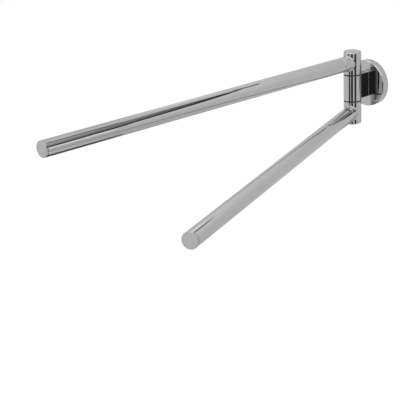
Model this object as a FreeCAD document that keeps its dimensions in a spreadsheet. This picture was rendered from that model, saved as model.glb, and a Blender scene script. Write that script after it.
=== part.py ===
"""Wall-mounted towel bar with two round arms that swing on one vertical hinge column.

Frame: millimetres, +Z up, the wall is the plane Y = 0 and the arms reach out along -Y.
The origin is the centre of the rosette's back, on the wall.

Each arm is modelled in its own arm frame: the hinge axis is the local Z axis, local Z = 0
is the hub face that turns on the seam washer, and the arm points along local -Y.
"""
import FreeCAD, Part

import os
from types import SimpleNamespace

import Sketcher

# ---------------------------------------------------------------- driving sizes, mm and degrees

SIZES = (
    ("rosette_dia", 50.0, "outside of the wall rosette"),
    ("rosette_depth", 8.0, "rosette from the wall to its face"),
    ("rosette_rim", 1.8, "wall of the rosette's rim"),
    ("rosette_face", 3.0, "thickness of the rosette's face"),
    ("rosette_bevel", 0.6, "bright bevel round the rosette's face"),
    ("plate_thickness", 4.4, "wall plate hidden in the rosette"),
    ("plate_play", 0.2, "gap all round between the plate and the rim"),
    ("plate_eye_dia", 14.0, "hole in the plate that clears the post screw's head"),
    ("plate_groove", 1.0, "depth of the V groove round the plate's edge"),
    ("wall_hole_dia", 5.0, "holes for the two wall screws"),
    ("wall_hole_pitch", 32.0, "distance between the two wall screws"),
    ("wall_sink_dia", 9.0, "countersink for a wall screw's head"),
    ("lock_screw_dia", 4.0, "grub screw that locks the rosette"),
    ("lock_screw_tip", 0.3, "radius of the flat at its tip"),
    ("lock_key", 2.0, "its hexagon key, across the flats"),
    ("post_width", 8.5, "post, side to side"),
    ("post_margin", 0.4, "from the barrel's end face to the post's top or bottom"),
    ("post_bevel", 0.4, "bevel on the post's long edges"),
    ("post_seat", 1.0, "depth of the post's seat in the rosette's face"),
    ("standoff", 21.5, "rosette's face to the hinge axis"),
    ("post_screw_dia", 5.0, "screw that draws the post and barrel together"),
    ("post_screw_head_dia", 8.5, "head of that screw, across"),
    ("post_screw_head", 2.6, "height of that head"),
    ("post_screw_key", 3.0, "its hexagon key, across the flats"),
    ("screw_play", 0.2, "gap round a shank that passes through a clearance hole"),
    ("screw_bevel", 0.5, "bevel at the ends of screws, studs and plugs"),
    ("column_dia", 19.0, "barrel and hubs"),
    ("barrel_height", 27.8, "fixed middle barrel"),
    ("hub_height", 24.5, "turning hub, seam face to outer face"),
    ("hub_round", 1.2, "rounding of the hub's outer edge"),
    ("seam_bevel", 0.2, "bevel on each side of a seam"),
    ("washer_thickness", 1.1, "seam washer"),
    ("washer_inset", 0.7, "how far the washer's edge lies inside the column"),
    ("pin_dia", 8.0, "hinge pin"),
    ("pin_bevel", 0.4, "bevel at the ends of the pin"),
    ("pin_reach", 18.9, "pin inside each hub, from the hub's seam face"),
    ("pin_dimple", 1.2, "depth of the post screw's dimple in the pin"),
    ("pin_groove", 1.0, "depth of the retaining grooves in the pin"),
    ("groove_play", 0.3, "gap between the retaining screw's point and its groove"),
    ("bush_dia", 11.0, "outside of the bearing bush"),
    ("bush_length", 13.0, "bearing bush"),
    ("running_play", 0.05, "gap between the pin and the bush"),
    ("hub_bore_play", 0.3, "gap between the pin and the hub beyond the bush"),
    ("spring_height", 1.3, "disc spring in its chamber"),
    ("spring_thickness", 0.5, "thickness of the disc spring"),
    ("spring_dia", 7.0, "outside of the disc spring"),
    ("spring_eye_dia", 3.6, "hole in the disc spring"),
    ("retainer_dia", 5.0, "retaining grub screw at the back of the hub"),
    ("retainer_point_dia", 2.6, "its dog point"),
    ("retainer_height", 16.2, "retaining screw above the hub's seam face"),
    ("retainer_sink", 0.5, "how far that screw lies below the hub's surface"),
    ("retainer_key", 2.5, "its hexagon key, across the flats"),
    ("key_depth", 1.4, "depth of the hexagon sockets"),
    ("tube_dia", 16.0, "arm tube and neck"),
    ("tube_wall", 1.0, "wall of the arm tube"),
    ("neck_reach", 18.0, "hinge axis to the neck's end"),
    ("neck_blend", 0.7, "fillet where the neck meets the hub"),
    ("butt_bevel", 0.2, "bevel on each side of the joint between neck and tube"),
    ("arm_reach", 408.0, "hinge axis to the face of the end cap"),
    ("stud_dia", 8.0, "stud between neck and tube"),
    ("stud_in_neck", 9.0, "length of the stud in the neck"),
    ("insert_length", 12.0, "threaded insert in the end of the tube"),
    ("cap_flange", 2.0, "thickness of the end cap's disc"),
    ("cap_round", 0.4, "rounding of the end cap's face"),
    ("cap_plug_dia", 13.4, "plug of the end cap"),
    ("cap_plug_length", 9.0, "length of that plug"),
    ("ring_section", 1.5, "thickness of the rubber ring on the plug"),
    ("ring_place", 4.5, "ring behind the cap's disc"),
    ("lower_swing_angle", 22.7, "lower arm at rest, degrees towards +X"),
)

SHEET = "Sizes"
WHOLE_TURN = 360
HALF_TURN = 180
SQUARE = 90
ROOT_3 = 3 ** 0.5
LEAST_CUT = 1e-6
SAME_PLACE = 1e-4
UP = FreeCAD.Vector(0, 0, 1)
DOWN = FreeCAD.Vector(0, 0, -1)
OUT = FreeCAD.Vector(0, -1, 0)


class Formula:
    """A size worked out from cells of the sheet: its text, and its value to start from."""

    def __init__(self, text, value):
        self.text = text
        self.value = value

    def joined(self, sign, other, value):
        return Formula("(%s %s %s)" % (self.text, sign, text_of(other)), value)

    def __add__(self, other):
        return self.joined("+", other, self.value + value_of(other))

    def __sub__(self, other):
        return self.joined("-", other, self.value - value_of(other))

    def __mul__(self, other):
        return self.joined("*", other, self.value * value_of(other))

    def __truediv__(self, other):
        return self.joined("/", other, self.value / value_of(other))

    def __neg__(self):
        return Formula("(0 - %s)" % self.text, -self.value)


def text_of(item):
    """Return the text of a formula, or anything else as text."""
    return item.text if isinstance(item, Formula) else str(item)


def value_of(item):
    """Return the value of a formula or of a plain number."""
    return item.value if isinstance(item, Formula) else item


def make_sheet():
    """Write each size into the sheet under its own alias; return them as formulas."""
    sheet = doc.addObject("Spreadsheet::Sheet", SHEET)
    for row, (name, value, meaning) in enumerate(SIZES, start=1):
        sheet.set("A%d" % row, meaning)
        sheet.set("B%d" % row, str(value))
        sheet.setAlias("B%d" % row, name)
    doc.recompute()
    cells = {name: Formula(SHEET + "." + name, value) for name, value, meaning in SIZES}
    return SimpleNamespace(**cells)


doc = FreeCAD.newDocument("SwingArmTowelBar")
pieces = []
size = make_sheet()

# ---------------------------------------------------------------- places used more than once

column_y = -size.rosette_depth - size.standoff
seam_z = size.barrel_height / 2 + size.washer_thickness
post_height = size.barrel_height - size.post_margin * 2
face_inside_y = -size.rosette_depth + size.rosette_face
rim_inside = size.rosette_dia / 2 - size.rosette_rim
plate_radius = rim_inside - size.plate_play
post_screw_tip_y = column_y + size.pin_dia / 2 - size.pin_dimple
arm_axis_z = size.hub_height / 2
tube_bore = size.tube_dia / 2 - size.tube_wall
cap_back_y = -size.arm_reach + size.cap_flange

# ---------------------------------------------------------------- bodies and where they stand


def piece(label):
    """Start a separate piece under its node name."""
    body = doc.addObject("PartDesign::Body", "Body_" + label)
    body.Label = label
    pieces.append(body)
    return body


def bind(thing, **formulas):
    """Bind properties of one object to formulas."""
    for name, value in formulas.items():
        thing.setExpression(name, text_of(value))


def stand(body, x=0, y=0, z=0, axis=(0, 0, 1), angle=0):
    """Place a finished piece: a turn about an axis through its own origin, then a shift."""
    spot = "create(<<vector>>; %s; %s; %s)" % (text_of(x), text_of(y), text_of(z))
    axis_text = "create(<<vector>>; %s; %s; %s)" % tuple(text_of(part) for part in axis)
    turn = "create(<<rotation>>; %s; %s)" % (axis_text, text_of(angle))
    body.setExpression("Placement", "create(<<placement>>; %s; %s)" % (spot, turn))


def stand_upper(body):
    """Put a piece of the upper arm in its place, square to the wall."""
    stand(body, y=column_y, z=seam_z)


def stand_lower(body):
    """Turn a piece of the lower arm upside down and swing it out to its rest angle.

    One half turn does both, about a level axis that lies at half the swing.
    """
    half = text_of(size.lower_swing_angle / 2)
    level_axis = ("-sin(%s)" % half, "cos(%s)" % half, 0)
    stand(body, y=column_y, z=-seam_z, axis=level_axis, angle=HALF_TURN)


# ---------------------------------------------------------------- sketches


def plane(body, role):
    """Return one of the body's own origin planes."""
    return next(item for item in body.Origin.OriginFeatures if item.Role == role)


def sketch_on(body, name, role, lift=0):
    """Attach an empty sketch to an origin plane, lifted along the plane's normal."""
    sketch = body.newObject("Sketcher::SketchObject", body.Label + "_" + name)
    sketch.AttachmentSupport = [(plane(body, role), "")]
    sketch.MapMode = "FlatFace"
    sketch.setExpression("AttachmentOffset.Base.z", text_of(lift))
    return sketch


def hold_point(sketch, index, point, across, up):
    """Hold one point of a sketch at two distances from the sketch's origin."""
    for kind, distance, axis in (("DistanceX", across, -2), ("DistanceY", up, -1)):
        if value_of(distance) == 0:
            sketch.addConstraint(Sketcher.Constraint("PointOnObject", index, point, axis))
            continue
        number = sketch.addConstraint(
            Sketcher.Constraint(kind, -1, 1, index, point, value_of(distance)))
        label = "%s_%d_%d" % (kind, index, point)
        sketch.renameConstraint(number, label)
        sketch.setExpression("Constraints." + label, text_of(distance))


def outline(sketch, corners):
    """Draw a closed outline of straight edges through corners given as (across, up)."""
    points = [FreeCAD.Vector(value_of(across), value_of(up), 0) for across, up in corners]
    following = points[1:] + points[:1]
    for start, end in zip(points, following):
        sketch.addGeometry(Part.LineSegment(start, end))
    for index in range(len(points)):
        sketch.addConstraint(
            Sketcher.Constraint("Coincident", index, 2, (index + 1) % len(points), 1))
    for index, (across, up) in enumerate(corners):
        hold_point(sketch, index, 1, across, up)


def rectangle(sketch, width, height):
    """Draw a rectangle centred on the sketch's origin."""
    side = width / 2
    top = height / 2
    outline(sketch, ((side, top), (-side, top), (-side, -top), (side, -top)))


def circle(sketch, radius, across=0, up=0):
    """Draw a circle by its radius and centre."""
    centre = FreeCAD.Vector(value_of(across), value_of(up), 0)
    index = sketch.addGeometry(Part.Circle(centre, UP, value_of(radius)))
    number = sketch.addConstraint(Sketcher.Constraint("Radius", index, value_of(radius)))
    label = "radius_%d" % index
    sketch.renameConstraint(number, label)
    sketch.setExpression("Constraints." + label, text_of(radius))
    hold_point(sketch, index, 3, across, up)


def hexagon(sketch, key, up=0):
    """Draw a hexagon of the given width across its flats, on the sketch's upright axis."""
    flat = key / 2
    corner = key / ROOT_3
    outline(sketch, (
        (0, corner + up),
        (-flat, corner / 2 + up),
        (-flat, -corner / 2 + up),
        (0, -corner + up),
        (flat, -corner / 2 + up),
        (flat, corner / 2 + up),
    ))


# ---------------------------------------------------------------- features


def turned(body, role, corners, lift=0):
    """Turn a profile of (radius, height) corners about the sketch's upright axis."""
    sketch = sketch_on(body, "profile", role, lift)
    outline(sketch, corners)
    return revolve(body, "PartDesign::Revolution", sketch)


def revolve(body, kind, sketch):
    """Turn a sketch right round its own upright axis, to add or to cut."""
    feature = body.newObject(kind, sketch.Label + "_turned")
    feature.Profile = sketch
    feature.ReferenceAxis = (sketch, ["V_Axis"])
    feature.Angle = WHOLE_TURN
    doc.recompute()
    return feature


def padded(body, name, sketch, length):
    """Raise a sketch along its own normal."""
    feature = body.newObject("PartDesign::Pad", body.Label + "_" + name)
    feature.Profile = sketch
    bind(feature, Length=length)
    doc.recompute()
    return feature


def pocketed(body, name, sketch, length, both_ways=False):
    """Cut a sketch into the piece, against the sketch's normal or both ways."""
    before = body.Shape.Volume
    feature = body.newObject("PartDesign::Pocket", body.Label + "_" + name)
    feature.Profile = sketch
    feature.Midplane = both_ways
    bind(feature, Length=length)
    check_cut(body, before)
    return feature


def check_cut(body, before):
    """Stop if the last feature has taken nothing away."""
    doc.recompute()
    if not body.Shape.Volume < before - LEAST_CUT:
        raise RuntimeError("%s cuts nothing from %s" % (body.Tip.Label, body.Label))


def dressed(body, kind, name, base, edges, **formulas):
    """Round or bevel the named edges of a feature."""
    feature = body.newObject(kind, body.Label + "_" + name)
    feature.Base = (base, edges)
    bind(feature, **formulas)
    doc.recompute()
    return feature


def fillet(body, name, base, edges, radius):
    """Round the named edges."""
    return dressed(body, "PartDesign::Fillet", name, base, edges, Radius=radius)


def chamfer(body, name, base, edges, width):
    """Bevel the named edges."""
    return dressed(body, "PartDesign::Chamfer", name, base, edges, Size=width)


def edges_where(feature, test):
    """Name the edges of a feature that pass a test."""
    return ["Edge%d" % number for number, edge in enumerate(feature.Shape.Edges, start=1)
            if test(edge)]


def is_round(edge):
    """True for an edge that lies on a circle."""
    return isinstance(edge.Curve, Part.Circle)


def is_free_curve(edge):
    """True where two cylinders cross, which gives a curve that no circle follows."""
    return isinstance(edge.Curve, Part.BSplineCurve)


def runs_out(edge):
    """True for a straight edge square to the wall."""
    return isinstance(edge.Curve, Part.Line) and edge.Curve.Direction.cross(OUT).Length < SAME_PLACE


def rim(feature, direction):
    """Name the circular edges that lie furthest along a direction."""
    level = max(edge.Curve.Center.dot(direction) for edge in feature.Shape.Edges
                if is_round(edge))

    def is_furthest(edge):
        return is_round(edge) and level - edge.Curve.Center.dot(direction) < SAME_PLACE

    return edges_where(feature, is_furthest)


# ---------------------------------------------------------------- the fixed bracket


def make_wall_plate():
    """Round plate with a V groove round its edge and two countersunk screw holes."""
    body = piece("wall_plate")
    eye = size.plate_eye_dia / 2
    middle = -size.plate_thickness / 2
    turned(body, "XY_Plane", (
        (eye, 0),
        (plate_radius, 0),
        (plate_radius, middle + size.plate_groove),
        (plate_radius - size.plate_groove, middle),
        (plate_radius, middle - size.plate_groove),
        (plate_radius, -size.plate_thickness),
        (eye, -size.plate_thickness),
    ))
    places = sketch_on(body, "screw_places", "XZ_Plane", size.plate_thickness)
    for height in (size.wall_hole_pitch / 2, -size.wall_hole_pitch / 2):
        circle(places, size.wall_hole_dia / 2, up=height)
    doc.recompute()
    before = body.Shape.Volume
    hole = body.newObject("PartDesign::Hole", "wall_plate_holes")
    hole.Profile = places
    hole.DepthType = "ThroughAll"
    hole.HoleCutType = "Countersink"
    hole.HoleCutCountersinkAngle = SQUARE
    bind(hole, Diameter=size.wall_hole_dia, HoleCutDiameter=size.wall_sink_dia)
    check_cut(body, before)


def make_rosette():
    """Hollow cover with a bevelled face, a seat for the post and two screw holes."""
    body = piece("rosette")
    edge = size.rosette_dia / 2
    turned(body, "XY_Plane", (
        (rim_inside, 0),
        (edge, 0),
        (edge, -size.rosette_depth + size.rosette_bevel),
        (edge - size.rosette_bevel, -size.rosette_depth),
        (0, -size.rosette_depth),
        (0, face_inside_y),
        (rim_inside, face_inside_y),
    ))
    seat = sketch_on(body, "seat", "XZ_Plane", size.rosette_depth)
    rectangle(seat, size.post_width, post_height)
    pocketed(body, "seat_cut", seat, size.post_seat)
    passage = sketch_on(body, "passage", "XZ_Plane", size.rosette_depth)
    circle(passage, size.post_screw_dia / 2 + size.screw_play)
    pocketed(body, "passage_cut", passage, size.rosette_depth)
    lock = sketch_on(body, "lock", "XY_Plane")
    circle(lock, size.lock_screw_dia / 2, up=-size.plate_thickness / 2)
    pocketed(body, "lock_cut", lock, size.rosette_dia)


def make_rosette_screw():
    """Grub screw in the underside of the rim; its cone seats in the plate's groove."""
    body = piece("rosette_screw")
    groove_floor = plate_radius - size.plate_groove
    top = size.rosette_dia / 2 - groove_floor
    turned(body, "XZ_Plane", (
        (0, size.lock_screw_tip),
        (size.lock_screw_tip, size.lock_screw_tip),
        (size.lock_screw_dia / 2, size.lock_screw_dia / 2),
        (size.lock_screw_dia / 2, top),
        (0, top),
    ))
    socket = sketch_on(body, "socket", "XY_Plane", top)
    hexagon(socket, size.lock_key)
    pocketed(body, "socket_cut", socket, size.key_depth)
    stand(body, y=-size.plate_thickness / 2, z=-groove_floor, axis=(1, 0, 0), angle=HALF_TURN)


def make_post_bar():
    """Flat bar from its seat in the rosette to the barrel, coped to the barrel's curve."""
    body = piece("post_bar")
    section = sketch_on(body, "section", "XZ_Plane", size.rosette_depth - size.post_seat)
    rectangle(section, size.post_width, post_height)
    bar = padded(body, "bar", section, size.standoff + size.post_seat)
    chamfer(body, "long_edges", bar, edges_where(bar, runs_out), size.post_bevel)
    cope = sketch_on(body, "cope", "XY_Plane")
    circle(cope, size.column_dia / 2, up=column_y)
    pocketed(body, "cope_cut", cope, size.barrel_height, both_ways=True)
    passage = sketch_on(body, "passage", "XZ_Plane", -column_y)
    circle(passage, size.post_screw_dia / 2 + size.screw_play)
    pocketed(body, "passage_cut", passage, -column_y)


def make_post_screw():
    """Socket-head screw; its head bears on the inside of the rosette's face."""
    body = piece("post_screw")
    radius = size.post_screw_dia / 2
    head = size.post_screw_head_dia / 2
    shank = face_inside_y - post_screw_tip_y
    top = shank + size.post_screw_head
    turned(body, "XZ_Plane", (
        (0, 0),
        (radius - size.screw_bevel, 0),
        (radius, size.screw_bevel),
        (radius, shank),
        (head, shank),
        (head, top - size.screw_bevel),
        (head - size.screw_bevel, top),
        (0, top),
    ))
    socket = sketch_on(body, "socket", "XY_Plane", top)
    hexagon(socket, size.post_screw_key)
    pocketed(body, "socket_cut", socket, size.key_depth)
    stand(body, y=post_screw_tip_y, axis=(1, 0, 0), angle=-SQUARE)


def make_barrel():
    """Fixed middle of the column, bored for the pin and tapped at the back."""
    body = piece("barrel")
    half = size.barrel_height / 2
    bore = size.pin_dia / 2
    radius = size.column_dia / 2
    turned(body, "XZ_Plane", (
        (bore, -half),
        (radius - size.seam_bevel, -half),
        (radius, -half + size.seam_bevel),
        (radius, half - size.seam_bevel),
        (radius - size.seam_bevel, half),
        (bore, half),
    ))
    tapped = sketch_on(body, "tapped", "XZ_Plane")
    circle(tapped, size.post_screw_dia / 2)
    pocketed(body, "tapped_cut", tapped, size.column_dia)
    stand(body, y=column_y)


def make_hinge_pin():
    """Steel pin with a retaining groove near each end and a dimple for the post screw."""
    body = piece("hinge_pin")
    radius = size.pin_dia / 2
    floor = radius - size.pin_groove
    end = seam_z + size.pin_reach
    groove = seam_z + size.retainer_height
    groove_half = size.retainer_point_dia / 2 + size.groove_play
    upper_half = (
        (radius, groove - groove_half),
        (floor, groove - groove_half),
        (floor, groove + groove_half),
        (radius, groove + groove_half),
        (radius, end - size.pin_bevel),
        (radius - size.pin_bevel, end),
    )
    lower_half = tuple((across, -up) for across, up in reversed(upper_half))
    turned(body, "XZ_Plane", ((0, -end), *lower_half, *upper_half, (0, end)))
    dimple = sketch_on(body, "dimple", "XZ_Plane", size.pin_dimple - radius)
    circle(dimple, size.post_screw_dia / 2)
    pocketed(body, "dimple_cut", dimple, size.pin_dia)
    stand(body, y=column_y)


def make_seam_washer(label, level):
    """Thin dark thrust washer between the barrel and a hub, from a level upwards."""
    body = piece(label)
    inside = size.pin_dia / 2 + size.screw_play
    outside = size.column_dia / 2 - size.washer_inset
    turned(body, "XZ_Plane", (
        (inside, 0),
        (outside, 0),
        (outside, size.washer_thickness),
        (inside, size.washer_thickness),
    ))
    stand(body, y=column_y, z=level)


# ---------------------------------------------------------------- the pieces of one arm


def make_hub(label):
    """Hub with its round neck, the neck blended in by a fillet, and every bore in it."""
    body = piece(label)
    section = sketch_on(body, "section", "XY_Plane")
    circle(section, size.column_dia / 2)
    cylinder = padded(body, "cylinder", section, size.hub_height)
    rounded = fillet(body, "outer_edge", cylinder, rim(cylinder, UP), size.hub_round)
    chamfer(body, "seam_edge", rounded, rim(rounded, DOWN), size.seam_bevel)
    neck_section = sketch_on(body, "neck_section", "XZ_Plane")
    circle(neck_section, size.tube_dia / 2, up=arm_axis_z)
    neck = padded(body, "neck", neck_section, size.neck_reach)
    saddle = edges_where(neck, is_free_curve)
    blended = fillet(body, "blend", neck, saddle, size.neck_blend)
    chamfer(body, "neck_edge", blended, rim(blended, OUT), size.butt_bevel)
    bore_hub(body)
    stud_hole = sketch_on(body, "stud_hole", "XZ_Plane", size.neck_reach)
    circle(stud_hole, size.stud_dia / 2, up=arm_axis_z)
    pocketed(body, "stud_hole_cut", stud_hole, size.stud_in_neck)
    retainer_hole = sketch_on(body, "retainer_hole", "XZ_Plane")
    circle(retainer_hole, size.retainer_dia / 2, up=size.retainer_height)
    pocketed(body, "retainer_hole_cut", retainer_hole, size.column_dia)
    return body


def bore_hub(body):
    """Stepped bore: the bush's seat, the pin's clearance, then the spring's chamber."""
    seat = size.bush_dia / 2
    narrow = size.pin_dia / 2 + size.hub_bore_play
    floor = size.pin_reach + size.spring_height
    bore = sketch_on(body, "bore", "XZ_Plane")
    outline(bore, ((0, 0), (seat, 0), (seat, size.bush_length),
                   (narrow, size.bush_length), (narrow, floor), (0, floor)))
    before = body.Shape.Volume
    revolve(body, "PartDesign::Groove", bore)
    check_cut(body, before)


def make_bush(label):
    """Bearing sleeve pressed into the hub; the pin turns in it."""
    body = piece(label)
    inside = size.pin_dia / 2 + size.running_play
    outside = size.bush_dia / 2
    turned(body, "XZ_Plane", (
        (inside, 0),
        (outside, 0),
        (outside, size.bush_length),
        (inside, size.bush_length),
    ))
    return body


def make_disc_spring(label):
    """Cone-shaped spring between the end of the pin and the end of the hub's bore."""
    body = piece(label)
    low = size.pin_reach
    high = size.pin_reach + size.spring_height
    turned(body, "XZ_Plane", (
        (size.spring_dia / 2, low),
        (size.spring_dia / 2, low + size.spring_thickness),
        (size.spring_eye_dia / 2, high),
        (size.spring_eye_dia / 2, high - size.spring_thickness),
    ))
    return body


def make_retaining_screw(label):
    """Dog-point grub screw; its point runs in the pin's groove and holds the hub on."""
    body = piece(label)
    radius = size.retainer_dia / 2
    point = size.retainer_point_dia / 2
    tip = size.pin_dia / 2 - size.pin_groove + size.groove_play
    shoulder = size.pin_dia / 2 + size.hub_bore_play + size.groove_play
    top = size.column_dia / 2 - size.retainer_sink
    turned(body, "XY_Plane", (
        (0, tip),
        (point, tip),
        (point, shoulder),
        (radius, shoulder),
        (radius, top),
        (0, top),
    ), lift=size.retainer_height)
    socket = sketch_on(body, "socket", "XZ_Plane", size.key_depth - top)
    hexagon(socket, size.retainer_key, up=size.retainer_height)
    pocketed(body, "socket_cut", socket, size.key_depth)
    return body


def make_stud(label):
    """Stud half in the neck and half in the tube's insert."""
    body = piece(label)
    radius = size.stud_dia / 2
    inner = size.stud_in_neck - size.neck_reach
    outer = -size.neck_reach - size.insert_length
    turned(body, "XY_Plane", (
        (0, inner),
        (radius - size.screw_bevel, inner),
        (radius, inner - size.screw_bevel),
        (radius, outer + size.screw_bevel),
        (radius - size.screw_bevel, outer),
        (0, outer),
    ), lift=arm_axis_z)
    return body


def make_tube_insert(label):
    """Threaded ring brazed into the end of the tube, flush with it."""
    body = piece(label)
    near = -size.neck_reach
    far = near - size.insert_length
    turned(body, "XY_Plane", (
        (size.stud_dia / 2, near),
        (tube_bore, near),
        (tube_bore, far),
        (size.stud_dia / 2, far),
    ), lift=arm_axis_z)
    return body


def make_tube(label):
    """The arm's tube, from the neck to the end cap, its two ends lightly bevelled."""
    body = piece(label)
    radius = size.tube_dia / 2
    near = -size.neck_reach
    turned(body, "XY_Plane", (
        (tube_bore, near),
        (radius - size.butt_bevel, near),
        (radius, near - size.butt_bevel),
        (radius, cap_back_y + size.butt_bevel),
        (radius - size.butt_bevel, cap_back_y),
        (tube_bore, cap_back_y),
    ), lift=arm_axis_z)
    return body


def make_end_cap(label):
    """Flat disc with a rounded edge, on a plug with a groove for the rubber ring."""
    body = piece(label)
    radius = size.tube_dia / 2
    plug = size.cap_plug_dia / 2
    floor = tube_bore - size.ring_section
    ring_y = cap_back_y + size.ring_place
    ring_half = size.ring_section / 2
    tip = cap_back_y + size.cap_plug_length
    disc = turned(body, "XY_Plane", (
        (0, -size.arm_reach),
        (radius, -size.arm_reach),
        (radius, cap_back_y - size.butt_bevel),
        (radius - size.butt_bevel, cap_back_y),
        (plug, cap_back_y),
        (plug, ring_y - ring_half),
        (floor, ring_y - ring_half),
        (floor, ring_y + ring_half),
        (plug, ring_y + ring_half),
        (plug, tip - size.screw_bevel),
        (plug - size.screw_bevel, tip),
        (0, tip),
    ), lift=arm_axis_z)
    fillet(body, "face_edge", disc, rim(disc, OUT), size.cap_round)
    return body


def make_cap_ring(label):
    """Square rubber ring that fills the plug's groove and grips the inside of the tube."""
    body = piece(label)
    floor = tube_bore - size.ring_section
    ring_y = cap_back_y + size.ring_place
    ring_half = size.ring_section / 2
    turned(body, "XY_Plane", (
        (floor, ring_y - ring_half),
        (tube_bore, ring_y - ring_half),
        (tube_bore, ring_y + ring_half),
        (floor, ring_y + ring_half),
    ), lift=arm_axis_z)
    return body


ARM_PIECES = (
    ("hub", make_hub),
    ("bush", make_bush),
    ("disc_spring", make_disc_spring),
    ("retaining_screw", make_retaining_screw),
    ("stud", make_stud),
    ("tube_insert", make_tube_insert),
    ("tube", make_tube),
    ("end_cap", make_end_cap),
    ("cap_ring", make_cap_ring),
)


def make_arm(side, put_in_place):
    """Make every piece of one arm and put it in place."""
    for name, make in ARM_PIECES:
        put_in_place(make(side + "_" + name))


# ---------------------------------------------------------------- checks and output


def check_document():
    """Stop if any object failed to compute or any piece isn't one valid solid."""
    for item in doc.Objects:
        if {"Invalid", "Error"} & set(item.State):
            raise RuntimeError("%s is %s" % (item.Name, item.State))
    for body in pieces:
        shape = body.Shape
        if shape.isNull() or not shape.isValid() or len(shape.Solids) != 1:
            raise RuntimeError(body.Label + " isn't one valid solid")


def write_parts():
    """Write each piece to its own file, named after its node."""
    os.makedirs("parts", exist_ok=True)
    for body in pieces:
        body.Shape.exportStep(os.path.join("parts", body.Label + ".step"))
        box = body.Shape.BoundBox
        print("%-24s volume %9.2f  x %7.2f %7.2f  y %7.2f %7.2f  z %6.2f %6.2f" % (
            body.Label, body.Shape.Volume, box.XMin, box.XMax, box.YMin, box.YMax,
            box.ZMin, box.ZMax))


make_wall_plate()
make_rosette()
make_rosette_screw()
make_post_bar()
make_post_screw()
make_barrel()
make_hinge_pin()
make_seam_washer("upper_seam_washer", size.barrel_height / 2)
make_seam_washer("lower_seam_washer", -seam_z)
make_arm("upper", stand_upper)
make_arm("lower", stand_lower)
doc.recompute()
check_document()
write_parts()
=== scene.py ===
"""Chromed look of a wall-mounted towel bar with two swinging arms, built round its solids."""
import math

import bmesh
import bpy
from bpy.props import FloatProperty, FloatVectorProperty, IntProperty, PointerProperty
from mathutils import Matrix, Vector


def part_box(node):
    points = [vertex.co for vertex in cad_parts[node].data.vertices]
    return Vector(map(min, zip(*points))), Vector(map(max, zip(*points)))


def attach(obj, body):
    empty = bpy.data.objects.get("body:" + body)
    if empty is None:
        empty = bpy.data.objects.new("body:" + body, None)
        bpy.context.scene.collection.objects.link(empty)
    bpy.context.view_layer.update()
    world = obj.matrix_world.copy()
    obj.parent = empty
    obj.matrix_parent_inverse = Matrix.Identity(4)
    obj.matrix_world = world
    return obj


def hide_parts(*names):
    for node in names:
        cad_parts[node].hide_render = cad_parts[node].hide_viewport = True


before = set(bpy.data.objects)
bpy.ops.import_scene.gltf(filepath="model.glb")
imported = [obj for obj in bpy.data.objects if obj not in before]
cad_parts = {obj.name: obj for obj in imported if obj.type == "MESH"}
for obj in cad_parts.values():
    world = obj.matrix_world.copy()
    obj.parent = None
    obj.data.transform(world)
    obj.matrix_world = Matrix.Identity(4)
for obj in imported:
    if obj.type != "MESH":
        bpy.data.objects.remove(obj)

bl_info = {
    "name": "Swing Arm Towel Bar",
    "version": (1, 0, 0),
    "blender": (4, 5, 0),
    "location": "View3D > Sidebar > Towel Bar",
    "description": "Builds the chromed pieces of a two-armed swivel towel bar and its studio",
    "category": "Object",
}

MM = 0.001
HALF_TURN = math.pi
WHOLE_TURN = 2 * math.pi
SQUARE = math.pi / 2
SAME_PLACE = 1e-7
SHARP_ANGLE = math.radians(35)
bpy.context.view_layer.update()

# ---------------------------------------------------------------- places read from the solids


def low(node):
    """Lowest corner of a node's box at rest."""
    return Vector(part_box(node)[0])


def high(node):
    """Highest corner of a node's box at rest."""
    return Vector(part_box(node)[1])


ROSETTE_RADIUS = high("rosette").x
ROSETTE_FACE_Y = low("rosette").y
POST_HALF_WIDTH = high("post_bar").x
POST_HALF_HEIGHT = high("post_bar").z
POST_SEAT_Y = high("post_bar").y
COLUMN_RADIUS = high("barrel").x
COLUMN_Y = (low("barrel").y + high("barrel").y) / 2
BARREL_TOP = high("barrel").z
SEAM_TOP = high("upper_seam_washer").z
HUB_TOP = high("upper_hub").z
NECK_REACH = COLUMN_Y - low("upper_hub").y
ARM_RADIUS = high("upper_tube").x
ARM_Z = (low("upper_tube").z + high("upper_tube").z) / 2
TUBE_END = COLUMN_Y - low("upper_tube").y
ARM_REACH = COLUMN_Y - low("upper_end_cap").y
LOWER_SWING = math.radians(22.7)

UPSIDE_DOWN = Matrix.Rotation(HALF_TURN, 4, "Y")
UPPER_PLACE = Matrix.Translation((0, COLUMN_Y, 0))
LOWER_PLACE = UPPER_PLACE @ Matrix.Rotation(LOWER_SWING, 4, "Z") @ UPSIDE_DOWN
ARMS = (("upper", UPPER_PLACE), ("lower", LOWER_PLACE))
TO_FRONT = Matrix.Rotation(SQUARE, 4, "X")
TO_BACK = Matrix.Rotation(-SQUARE, 4, "X")
ALONG_ARM = Matrix.Translation((0, 0, ARM_Z)) @ TO_FRONT


# ---------------------------------------------------------------- what a user may change


def length(name, description, default):
    """A length in metres that shows in the scene's own unit."""
    return FloatProperty(name=name, description=description, default=default, min=0.0,
                         precision=5, unit="LENGTH")


def colour(name, description, default):
    """A colour picker."""
    return FloatVectorProperty(name=name, description=description, default=default, size=3,
                               min=0.0, max=1.0, subtype="COLOR")


def share(name, description, default):
    """A plain number from nought to one."""
    return FloatProperty(name=name, description=description, default=default, min=0.0, max=1.0,
                         subtype="FACTOR")


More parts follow.
